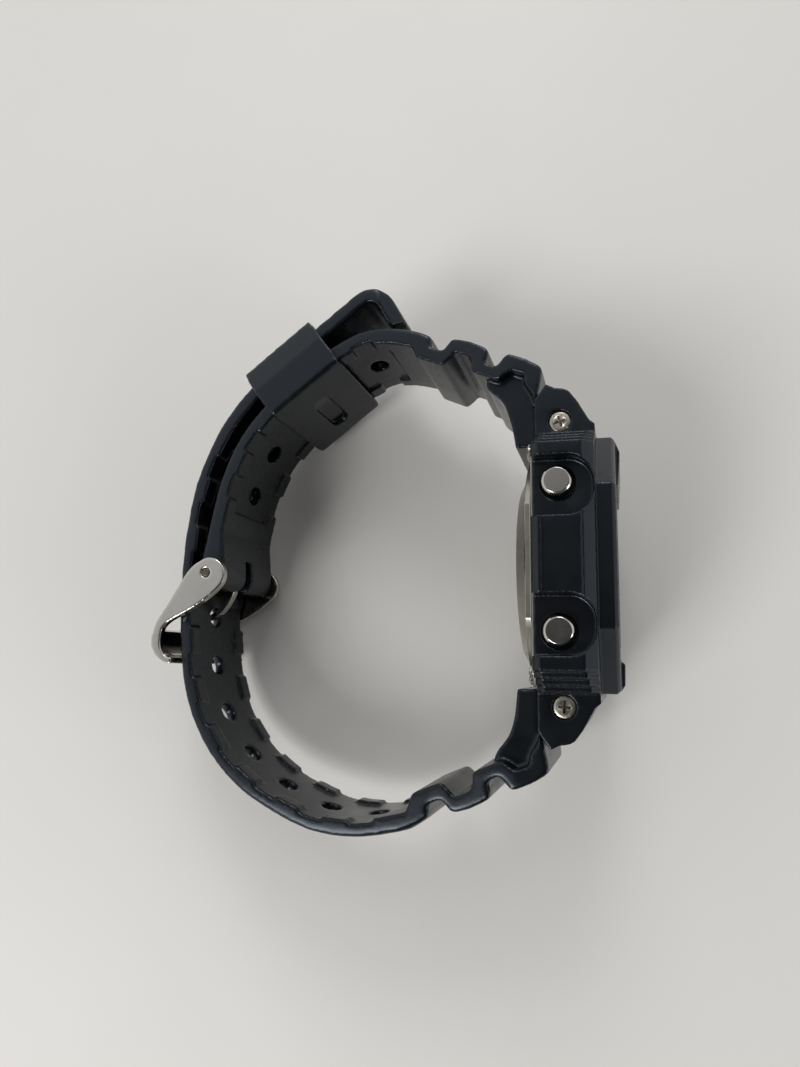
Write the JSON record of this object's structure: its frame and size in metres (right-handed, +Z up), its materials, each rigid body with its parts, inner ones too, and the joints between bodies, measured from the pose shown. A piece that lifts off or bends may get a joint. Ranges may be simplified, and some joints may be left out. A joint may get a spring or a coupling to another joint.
{
  "type": "digital watch",
  "caption": "Digital watch in black resin, fastened into a loop: stepped case, side pushers, screwed steel back, corrugated strap, keeper and steel pin buckle.",
  "frame": {"origin": "middle of the bounding box, on the table under the resting watch", "axes": "+Z up from the table, +Y towards the twelve o'clock side of the case, +X towards the dial side; the case leans about ten degrees because the watch rests on its three o'clock guard and the buckle"},
  "size_m": [0.0742, 0.0824, 0.0431],
  "materials": {
    "resin": "satin moulded urethane resin",
    "case_polymer": "black glass-filled case polymer",
    "steel_polished": "polished stainless steel",
    "steel_back": "pressed stainless steel, satin",
    "crystal_glass": "clear mineral glass",
    "black_print": "black print",
    "lcd_glass": "liquid crystal panel",
    "light_plate": "light guide acrylic",
    "led": "small lamp",
    "seal_rubber": "nitrile rubber",
    "contact_rubber": "striped contact rubber",
    "module_polymer": "natural module polymer",
    "board": "glass-fibre board",
    "chip": "moulded chip package",
    "brass": "turned brass",
    "spring_steel": "spring steel",
    "pad_rubber": "shock pad rubber"
  },
  "bodies": {
    "watch": {"bezel": "resin", "buckle_strap": "resin", "tip_strap": "resin", "center_case": "case_polymer", "bezel_screws": "steel_polished", "case_back_screws": "steel_polished", "case_back": "steel_back", "buckle_pin": "steel_polished", "crystal": "crystal_glass", "crystal_gasket": "seal_rubber", "back_gasket": "seal_rubber", "face_plate": "black_print", "lcd_panel": "lcd_glass", "light_guide": "light_plate", "light_led": "led", "lcd_connectors": "contact_rubber", "module_frame": "module_polymer", "module_back": "module_polymer", "circuit_board": "board", "processor_chip": "chip", "quartz_can": "steel_polished", "battery": "steel_polished", "battery_clip": "spring_steel", "switch_contacts": "spring_steel", "button_bushes": "brass", "buzzer_disc": "brass", "buzzer_spring": "spring_steel", "shock_pad": "pad_rubber", "spring_bar_12": "steel_polished", "spring_bar_6": "steel_polished", "adjust_spring": "spring_steel", "mode_spring": "spring_steel", "light_spring": "spring_steel", "start_spring": "spring_steel"},
    "adjust_pusher": {"adjust_button": "steel_polished", "adjust_seal": "seal_rubber", "adjust_clip": "spring_steel"},
    "mode_pusher": {"mode_button": "steel_polished", "mode_seal": "seal_rubber", "mode_clip": "spring_steel"},
    "light_pusher": {"light_button": "steel_polished", "light_seal": "seal_rubber", "light_clip": "spring_steel"},
    "start_pusher": {"start_button": "steel_polished", "start_seal": "seal_rubber", "start_clip": "spring_steel"},
    "keeper_loop": {"keeper": "resin"},
    "buckle": {"buckle_frame": "steel_polished"},
    "prong": {"buckle_tongue": "steel_polished"}
  },
  "joints": [
    {"name": "adjust_press", "type": "slide", "parent": "watch", "child": "adjust_pusher", "axis": [0.1759, 0, -0.9844], "range_m": [0, 0.0008], "stiffness_N_per_m": 1200, "springref_m": -0.0004, "deforming": ["adjust_spring"]},
    {"name": "mode_press", "type": "slide", "parent": "watch", "child": "mode_pusher", "axis": [0.1759, 0, -0.9844], "range_m": [0, 0.0008], "stiffness_N_per_m": 1200, "springref_m": -0.0004, "deforming": ["mode_spring"]},
    {"name": "light_press", "type": "slide", "parent": "watch", "child": "light_pusher", "axis": [-0.1759, 0, 0.9844], "range_m": [0, 0.0008], "stiffness_N_per_m": 1200, "springref_m": -0.0004, "deforming": ["light_spring"]},
    {"name": "start_press", "type": "slide", "parent": "watch", "child": "start_pusher", "axis": [-0.1759, 0, 0.9844], "range_m": [0, 0.0008], "stiffness_N_per_m": 1200, "springref_m": -0.0004, "deforming": ["start_spring"]},
    {"name": "keeper_slide", "type": "hinge", "parent": "watch", "child": "keeper_loop", "pos_m": [0.01402, -0.0088, 0.01922], "axis": [-0.1759, 0, 0.9844], "range_deg": [-0.4, 3.7]},
    {"name": "buckle_hinge", "type": "hinge", "parent": "watch", "child": "buckle", "pos_m": [-0.02665, -0.00359, 0.01196], "axis": [-0.1759, 0, 0.9844], "range_deg": [-3, 1]},
    {"name": "tongue_hinge", "type": "hinge", "parent": "watch", "child": "prong", "pos_m": [-0.02665, -0.00359, 0.01196], "axis": [-0.1759, 0, 0.9844], "range_deg": [-3, 1]}
  ],
  "couplings": [
    {"joint": "tongue_hinge", "follows": "buckle_hinge", "ratio": 1}
  ]
}
